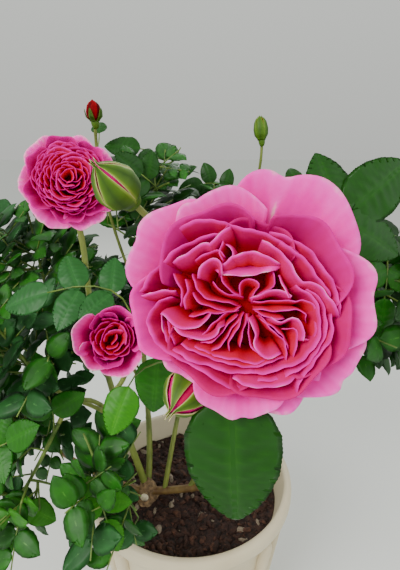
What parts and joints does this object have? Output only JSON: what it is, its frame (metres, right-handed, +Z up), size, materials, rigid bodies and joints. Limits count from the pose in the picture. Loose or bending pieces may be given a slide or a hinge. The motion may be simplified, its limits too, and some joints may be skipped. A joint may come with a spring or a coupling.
{
  "type": "potted rose bush",
  "caption": "Rose bush with many-petalled pink blooms, buds and arching canes, growing in a ribbed round pot of soil.",
  "frame": {"origin": "middle of the pot's flat underside", "axes": "+Z up along the pot's axis; -Y is the front, which the largest bloom faces; +X is to the right seen from the front"},
  "size_m": [0.5496, 0.557, 0.785],
  "materials": {
    "pot": "smooth cream resin",
    "soil": "damp crumbly potting mix",
    "bark": "rough brown bark",
    "cane": "smooth green bark",
    "leaf": "satin green leaves",
    "blossom": "soft pink petals",
    "bud": "green sepals over pink petals"
  },
  "bodies": {
    "root": {"pot": "pot", "soil": "soil", "stock": "bark", "cane_low": "cane", "cane_main": "cane", "cane_right": "cane", "cane_back": "cane", "cane_tall": "cane", "cane_left": "cane", "cane_rear": "cane", "bough_front": "cane", "bough_half": "cane", "bough_left": "cane", "bough_high": "cane", "bough_rear": "cane", "bough_low_right": "cane", "bough_right": "cane", "bough_arch": "cane", "spray_left_low": "leaf", "spray_front": "leaf", "spray_left": "leaf", "spray_left_high": "leaf", "spray_rear_left": "leaf", "spray_crest": "leaf", "spray_rear": "leaf", "spray_rear_low": "leaf", "spray_right": "leaf", "spray_right_front": "leaf", "spray_arch": "leaf", "bloom_main": "blossom", "bloom_second": "blossom", "bloom_half": "blossom", "bud_upper": "bud", "bud_lower": "bud", "bud_red": "bud", "bud_green": "bud"}
  },
  "joints": []
}
